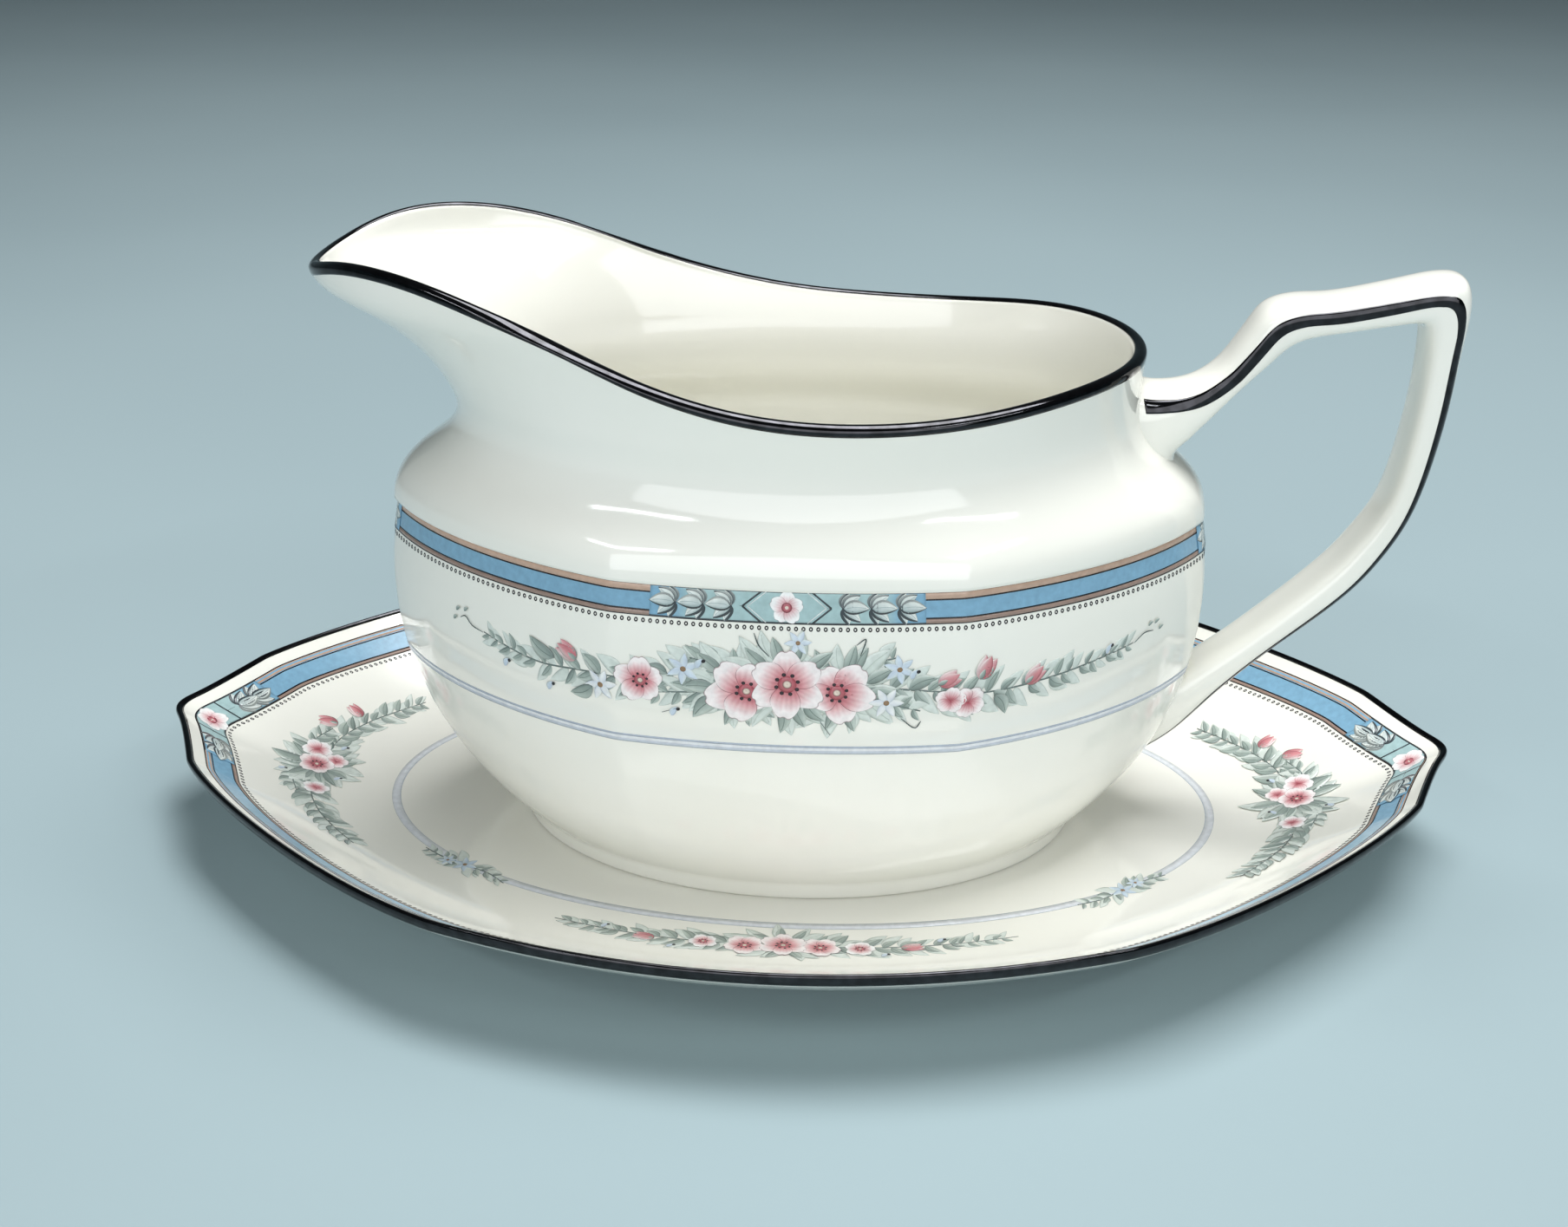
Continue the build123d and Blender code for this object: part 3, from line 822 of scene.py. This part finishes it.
    def berry(self, x, y, size):
        self.leaf(x - size * 1.4, y - size * 1.6, 60, size * 2.4, 0.55, 0.1, SKY, GREYBLUE, vein=False)
        self.disc(x, y, size * 0.42, INK, squash=0.85, turn=30)

    def star(self, x, y, radius, turn=0, colour=WHITE, rim=SKY):
        """A small starry flower of narrow pale petals with a dark eye."""
        for k in range(6):
            self.leaf(x, y, turn + 60 * k, radius, 0.46, 0, colour, mix(rim, GREYBLUE, 0.6), vein=False)
        self.disc(x, y, radius * 0.17, mix(OCHRE, INK, 0.25))

    def sprig(self, pts, leaves, size, width=0.3):
        """A stem with overlapping leaves to either side, pale ones behind, that get smaller to its tip."""
        p = catmull(pts, 8)
        back, front = (LEAF_PALE, mix(LEAF, LEAF_PALE, 0.3), 1.12), (LEAF, LEAF_DARK, 0.92)
        for layer, (light, dark, scale) in enumerate((back, front)):
            if layer:
                self.stroke(pts, width, mix(LEAF_DARK, LEAF, 0.25), taper=0.6)
            for k in range(leaves):
                share = (k + 0.3 + 0.4 * layer) / leaves
                i = min(int(share * (len(p) - 2)), len(p) - 2)
                side = 1 if (k + layer) % 2 else -1
                length = size * scale * (1 - 0.5 * share) * chance.uniform(0.8, 1.15)
                turn = heading(*(p[i + 1] - p[i])) + side * chance.uniform(22, 62)
                wide, shade = chance.uniform(0.38, 0.5), chance.uniform(0, 0.4)
                self.leaf(*p[i], turn, length, wide, side * 0.1, light, mix(dark, light, shade), bool(layer))

    def rosette(self, x, y, count, reach, size, squash=1):
        """Leaves standing out all round a place, pale ones behind and darker ones in front."""
        back, front = (LEAF_PALE, mix(LEAF, LEAF_PALE, 0.25), 1.2), (LEAF, mix(LEAF_DARK, LEAF, 0.2), 1)
        for light, dark, scale in (back, front):
            for k in range(count):
                c, s = turned(360 * (k + chance.uniform(0, 0.7)) / count)
                turn = heading(c, s * squash) + chance.uniform(-14, 14)
                length = size * scale * (0.72 + 0.28 * abs(c)) * chance.uniform(0.8, 1.15)
                self.leaf(x + reach * c, y + reach * s * squash, turn, length, chance.uniform(0.38, 0.5),
                          chance.uniform(-0.12, 0.12), light, dark)


# ---- bands ----
def band(painting, chart, stripes, columns):
    """Stripes right round a chart, each one given as near edge, far edge and colour."""
    loop = np.linspace(0, chart.arc[-1], columns, endpoint=False)
    place = chart.at(0)
    for near, far, colour in stripes:
        rows = max(2, int(abs(far - near) / 0.9) + 2)
        painting.sheet(place, levels(loop, np.linspace(near, far, rows)), colour, closed=True)


def beads(painting, place, start, end, across, pitch, size):
    """A row of small open beads, each one a thick little ring."""
    count = int(round((end - start) / pitch))
    a = np.linspace(0, 2 * PI, 10, endpoint=False)
    for k in range(count):
        x = start + (k + 0.5) * (end - start) / count
        r = size * np.array([[1], [0.42]])
        xy = np.stack([x + r * 0.8 * np.cos(a), across + r * np.sin(a)], -1)
        painting.sheet(place, xy, INK, closed=True, lift=FIRST_COAT)


def painted(name, body, *layers, coats=0):
    """A piece of decoration from its layers, each one given as a function and what it needs."""
    painting = Painting(coats)
    for draw, *needs in layers:
        draw(painting, *needs)
    painting.build(name, body)


# heights over the boat's foot, and distances in from the underplate's edge
BOAT_BAND = [(54.75, 59.95, BLUE), (58.7, 59.95, TAN), (54.75, 55.6, mix(BROWN, TAN, 0.35)),
             (59.78, 60.00, INK), (58.55, 58.8, INK), (55.55, 55.82, INK), (54.68, 54.86, INK)]
BOAT_LINE = [(31.95, 33.45, mix(GREYBLUE, WHITE, 0.72)), (31.95, 32.55, mix(GREYBLUE, WHITE, 0.25)),
             (33.05, 33.45, GREYBLUE)]
PLATE_BAND = [(4.15, 10.4, BLUE), (4.15, 5.55, TAN), (9.55, 10.4, mix(BROWN, TAN, 0.35)), (4.05, 4.3, INK),
              (5.45, 5.72, INK), (9.4, 9.72, INK), (10.28, 10.48, INK)]
BOAT_BEADS, PLATE_BEADS = (53.95, 1.14, 0.4), (11.25, 1.16, 0.38)  # place, pitch, radius
BOAT_PANEL, PLATE_PANEL, GARLAND_HEIGHT = (54.9, 59.85), (4.35, 10.2), 44.3
painted("boat_band", "boat", (band, boat_chart, BOAT_BAND, 720))
painted("boat_beads", "boat", (beads, boat_chart.at(0), 0, boat_chart.arc[-1], *BOAT_BEADS))
painted("boat_lower_line", "boat", (band, boat_chart, BOAT_LINE, 600))
painted("plate_band", "underplate", (band, plate_chart, PLATE_BAND, 1100))
painted("plate_beads", "underplate", (beads, plate_chart.at(0), 0, plate_chart.arc[-1], *PLATE_BEADS))

FAN = (70, -70, 38, -38, 0)  # the directions of a fan of leaves, the last one on top
PANEL_INK = mix(TEAL, INK, 0.72)


def panel(painting, place, half, low, high):
    """A leafy panel over a band, with a small flower in a hexagon or between two lines in its middle."""
    middle, tall = (low + high) / 2, abs(high - low)
    hexagon = half > 18  # only the long panels have one
    ground = half - 5
    along = np.linspace(-half, half, int(half * 4))
    xy = levels(along, np.linspace(low, high, 14))
    fade = np.clip((ground + 1.5 - np.abs(along)) / 3, 0, 1)[None, :, None]
    painting.sheet(place, xy, mix(BLUE, TEAL, np.broadcast_to(fade, xy.shape[:2] + (1,))))
    painting.coats += 25  # clears the ground, whose grid is coarser than the strokes on it
    brush = Brush(painting, place)
    inside = 6.3 if hexagon else 4.4
    for s in (1, -1):
        m = Brush(painting, place, flip=s)
        for edge in (low, high):
            m.stroke([(x, edge) for x in np.linspace(0, half, 12)], 0.2, PANEL_INK, taper=1)
        m.stroke([(inside, middle), (half - 4, middle)], 0.26, PANEL_INK)
        for x in np.arange(half - 3.9, inside + 0.6, -4.4 if hexagon else -3.6):
            for turn in FAN:
                length = tall * (0.8 if turn == 0 else 0.66 if abs(turn) < 50 else 0.52)
                m.leaf(x - 0.25, middle, turn, length + 0.35, 0.56, 0.06, PANEL_INK, PANEL_INK, vein=False)
                m.leaf(x, middle, turn, length, 0.44, 0.06, mix(LEAF_PALE, WHITE, 0.55), mix(TEAL, INK, 0.22))
        if hexagon:
            for reach, width, colour in ((6.9, 0.3, PANEL_INK), (6.1, 0.18, mix(TEAL, WHITE, 0.7))):
                for edge in (low, high):
                    m.stroke([(reach - 2.9, edge), (reach, middle)], width, colour, taper=1)
        else:
            m.stroke([(inside, low), (inside, high)], 0.28, PANEL_INK, taper=1)
    brush.flower(0, middle, tall * 0.56, 90, deep=mix(DEEP, PINK, 0.3), mid=mix(PINK, WHITE, 0.55),
                 edge=WHITE, centre=False)
    brush.disc(0, middle, tall * 0.17, mix(DEEP, PINK, 0.3), edge=mix(DEEP, INK, 0.25))
    brush.disc(0, middle, tall * 0.06, mix(BLUSH, OCHRE, 0.3))


PANEL_COATS = 12  # coats left free below a panel, so that it lies over the band
for name, body, chart, heights, sizes in (
        ("boat_panels", "boat", boat_chart, BOAT_PANEL,
         ((21.5, FRONT_COLUMN, BACK_COLUMN), (12, SPOUT_COLUMN, HANDLE_COLUMN))),
        ("plate_panels", "underplate", plate_chart, PLATE_PANEL,
         ((22.5, PLATE_FRONT_COLUMN, PLATE_BACK_COLUMN), (15, LEFT_COLUMN, RIGHT_COLUMN)))):
    layers = [(panel, chart.at(column), half, *heights) for half, *columns in sizes for column in columns]
    painted(name, body, *layers, coats=PANEL_COATS)


# ---- garlands ----
def garland(painting, place):
    """The main garland: three large flowers in the middle, with trailing sprays to either side."""
    b = Brush(painting, place)
    b.sprig([(-22, -0.6), (-32, -0.6), (-41, -1.2), (-48, -0.2), (-53, 0.9)], 19, 5)
    b.sprig([(24, -1.6), (34, -2), (44, -1.4), (53, -0.4), (60, 0.4)], 24, 5)
    b.sprig([(-8, 0), (-15, 1), (-22, 0.6)], 9, 7)
    b.sprig([(-8, -1.5), (-15, -2), (-22, -2.6)], 7, 5.6)
    b.sprig([(10, 0), (17, -0.4), (25, -1.2)], 10, 7.2)
    b.sprig([(10, -1.5), (16, -3), (21, -4.4)], 6, 5.6)
    b.sprig([(9, 2), (14, 4.2), (17, 5)], 5, 5)
    b.sprig([(-8, 2), (-12, 3.6), (-15, 4)], 5, 5)
    b.rosette(-7.5, -0.5, 9, 3.6, 5.6, squash=0.9)
    b.rosette(9, -0.5, 9, 3.6, 5.6, squash=0.9)
    b.rosette(0, 0, 12, 4, 5.8, squash=0.95)
    b.star(-16, 2, 2.8, 25, colour=mix(SKY, WHITE, 0.15))
    b.star(17.5, 3, 2.6, 40, colour=mix(SKY, WHITE, 0.15))
    b.star(1.8, 7.4, 2.2, 5, colour=mix(SKY, WHITE, 0.3))
    b.star(-29.6, -2.4, 2.9, 10)
    b.leaf(-38, 0.4, 150, 5.6, 0.5)
    b.leaf(-31, -3, 205, 4.8, 0.5)
    b.leaf(33, -2.6, 300, 4.4, 0.5)
    b.bud(-33.8, 1.1, 150, 3.3)
    b.bud(23.6, 0.2, 28, 3)
    b.bud(30.2, 0.6, 64, 3.4)
    b.bud(38.4, -1.6, 40, 3.2)
    b.flower(-23.2, -0.6, 4.1, 18, lean=0.3)
    b.flower(28.4, -3.2, 3.3, 40, squash=0.85, mid=mix(PINK, BLUSH, 0.35), centre=False)
    b.flower(25.6, -2.6, 2.6, 10, squash=0.9, mid=mix(PINK, BLUSH, 0.35), centre=False)
    b.flower(-7.6, -1.2, 5.7, 196, squash=0.94, lean=1.5)
    b.flower(9, -1, 5.5, 128, squash=0.98, lean=-1.1)
    b.flower(0.2, 0.3, 6.2, 90, petals=6)
    b.star(15.6, -2.8, 2.8, 0)
    for x, y in ((-47.5, -2.6), (-38.6, -4.4), (-17, -5.2), (-12.8, 3.6), (55, 1.4), (20.4, 2.6)):
        b.berry(x, y, 0.8)
    for pts in ([(-53, 0.9), (-55.6, 1.4), (-57.2, 2.6), (-58.4, 2)], [(60, 0.4), (62.4, 1.6), (64.6, 1.4)],
                [(-5, 8.8), (-4.2, 6.8), (-2.6, 5)], [(10.8, 7.2), (12.2, 8.2), (11.4, 5.4)],
                [(18, -5.6), (20.4, -7.4), (21.2, -6.2)], [(5.4, -6.2), (7, -8.6)], [(-17, -5), (-19.6, -6)]):
        b.stroke(pts, 0.2, mix(LEAF_DARK, INK, 0.2), taper=0.4)
    for x, y in ((-59.4, 3), (-60.2, 1.2), (-57.4, 3.4), (64.8, 2.6), (66, 1.2), (63.2, 2.6)):
        b.leaf(x, y, 40 if x < 0 else 20, 1.3, 0.5, vein=False)


for side, column in (("front", FRONT_COLUMN), ("back", BACK_COLUMN)):
    painted(f"boat_garland_{side}", "boat", (garland, boat_chart.at(column, GARLAND_HEIGHT)))


def corner_spray(painting, place, flip):
    """The spray at an end of the underplate: local x runs inwards from the tip, y along the end."""
    b = Brush(painting, place, flip)
    for s in (1, -1):
        b.sprig([(1.5, 3 * s), (2.5, 10 * s), (6, 17 * s), (11, 23 * s), (15, 27 * s)], 22, 5.6, width=0.22)
        b.sprig([(0, 2 * s), (-1.5, 7 * s), (0.5, 12 * s)], 9, 5, width=0.22)
    b.rosette(1, 0, 13, 2, 6, squash=1.25)
    b.bud(1, 14, 200, 3)
    b.bud(4.6, 18, 150, 2.8)
    b.flower(3, -8.6, 2.5, 20, mid=mix(PINK, BLUSH, 0.5), edge=WHITE, centre=False)
    b.flower(-0.4, 4.6, 2.9, 60, mid=mix(PINK, BLUSH, 0.5), edge=WHITE, centre=False)
    b.flower(3.6, 2.6, 2.3, 10, mid=mix(PINK, BLUSH, 0.3), centre=False)
    b.flower(0.6, 0.2, 3.5, 15, deep=mix(DEEP, INK, 0.25), mid=mix(PINK, DEEP, 0.15))
    for x, y in ((4.5, 7.6), (-3.5, -5), (6, -3)):
        b.berry(x, y, 0.7)


END_SPRAY, SIDE_SPRAY = 91.5, 50.5  # distances from the underplate's middle
painted("plate_end_sprays", "underplate", (corner_spray, plan(-END_SPRAY, 0, 0), 1),
        (corner_spray, plan(END_SPRAY, 0, 0), -1))


def side_spray(painting, place):
    """The long spray in the middle of a long side of the underplate."""
    b = Brush(painting, place)
    for s in (1, -1):
        b.sprig([(5 * s, 0), (16 * s, 0.5), (27 * s, 2.2), (38 * s, 5.2)], 24, 5.2, width=0.22)
    b.rosette(0, 0, 12, 3.6, 5, squash=0.6)
    b.bud(19, 0.2, 15, 3)
    b.bud(-21, 0.2, 165, 3)
    b.flower(12.4, -0.4, 2.7, 10, mid=mix(PINK, BLUSH, 0.3), edge=WHITE)
    b.flower(-13, 0.2, 2.5, 40, mid=mix(PINK, BLUSH, 0.3), edge=WHITE)
    b.flower(-6.2, -0.6, 3.6, 200)
    b.flower(6, -0.5, 3.5, 130)
    b.flower(0, 0, 4.1, 90, petals=6)
    for x, y in ((17, -2.4), (-17.5, -2), (26, 3.8), (-29, 4.2)):
        b.berry(x, y, 0.7)


painted("plate_side_sprays", "underplate", (side_spray, plan(0, -SIDE_SPRAY, 0)),
        (side_spray, plan(0, SIDE_SPRAY, 180)))

well_paint = Painting()
loop = np.linspace(0, 2 * PI, 420, endpoint=False)


def well_line(low, high, colour):
    r = np.array([[high], [low]])
    xy = np.stack([(WELL_HALF_LENGTH + r) * np.cos(loop), (WELL_HALF_WIDTH + r) * np.sin(loop)], -1)
    well_paint.sheet(plan(0, 0, 0), xy, colour, closed=True)


well_line(-0.8, 0.8, mix(GREYBLUE, WHITE, 0.62))
well_line(0.45, 0.8, mix(GREYBLUE, LEAF, 0.4))
well_line(-0.8, -0.45, mix(GREYBLUE, WHITE, 0.25))
for sx in (1, -1):
    for sy in (1, -1):
        b = Brush(well_paint, plan(sx * 56.5, sy * 29.2, heading(sx * 49.6, -sy * 32.9)))
        for s in (1, -1):
            b.sprig([(1 * s, 0), (5 * s, 0.5 * s), (9.5 * s, 0.2)], 7, 3.4, width=0.25)
        b.star(0, 0, 2.4, 10, colour=mix(SKY, WHITE, 0.1), rim=BLUE)
        b.star(3.4, 0.8, 1.7, 40, colour=mix(SKY, WHITE, 0.3), rim=BLUE)
well_paint.build("plate_well_line", "underplate")

# ---- floor, light and camera ----
FLOOR_REACH, WALL_TOP, COVE = 2.1, 1.4, 0.5  # a round studio: flat floor, cove and wall, in metres
COVE_STEPS, ROUND_STEPS = 12, 72
profile = [(0.01, 0), (FLOOR_REACH, 0)]
cove_turns = [PI / 2 * i / COVE_STEPS for i in range(1, COVE_STEPS + 1)]
profile += [(FLOOR_REACH + COVE * sin(t), COVE - COVE * cos(t)) for t in cove_turns]
profile.append((FLOOR_REACH + COVE, WALL_TOP))
around = [2 * PI * k / ROUND_STEPS for k in range(ROUND_STEPS)]
mesh = bpy.data.meshes.new("floor")
studio = np.array([[(r * cos(a), r * sin(a), z) for a in around] for r, z in profile[::-1]])
last_ring = range((len(profile) - 1) * ROUND_STEPS, len(profile) * ROUND_STEPS)
faces = grid_faces(len(profile), ROUND_STEPS) + [tuple(last_ring)]
mesh.from_pydata(studio.reshape(-1, 3).tolist(), [], faces)
mesh.shade_smooth()
floor = Finish("pale_floor")
floor.tint(floor.inputs["Base Color"], 3, 2, (0.3, (0.572, 0.645, 0.66)), (0.7, (0.597, 0.67, 0.684)))
floor.inputs["Roughness"].default_value = 0.75
mesh.materials.append(floor.material)
backdrop = bpy.data.objects.new("floor", mesh)
bpy.context.scene.collection.objects.link(backdrop)


def soft_light(name, place, target, size, power, colour):
    light = bpy.data.lights.new(name, "AREA")
    light.shape, light.size, light.size_y = "RECTANGLE", *size
    light.energy, light.color = power, colour
    obj = bpy.data.objects.new(name, light)
    obj.location = place
    obj.rotation_euler = (Vector(target) - Vector(place)).to_track_quat("-Z", "Y").to_euler()
    bpy.context.scene.collection.objects.link(obj)


soft_light("overhead", (0.14, 0.14, 1.05), (0, 0, 0.05), (0.8, 0.5), 14.5, (0.98, 0.985, 1))
soft_light("front", (0, -1.5, 0.5), (0, 0, 0.06), (2.4, 1), 18.5, (0.95, 0.965, 1))
soft_light("window_left", (-0.62, -0.7, 0.8), (0, 0, 0.06), (0.5, 0.045), 1.6, (0.95, 0.98, 1))
soft_light("window_right", (0.62, -0.62, 0.8), (0, 0, 0.06), (0.45, 0.045), 1.6, (0.95, 0.98, 1))

world = bpy.data.worlds.new("studio")
bpy.context.scene.world = world
world.use_nodes = True
sky = world.node_tree.nodes["Background"].inputs
sky["Color"].default_value, sky["Strength"].default_value = (*linear((0.8, 0.84, 0.88)), 1), 0.13

CAMERA_PLACE, CAMERA_TURNS = (14.5, -304.9, 179.3), (65.63, -0.39, 3.5)  # millimetres and degrees
scene = bpy.context.scene
scene.view_settings.view_transform = "Standard"
camera = bpy.data.cameras.new("camera")
camera.lens, camera.sensor_width = 43.31, 36
eye = bpy.data.objects.new("camera", camera)
eye.location = Vector(CAMERA_PLACE) * MM
eye.rotation_euler = [radians(a) for a in CAMERA_TURNS]
scene.collection.objects.link(eye)
scene.camera = eye
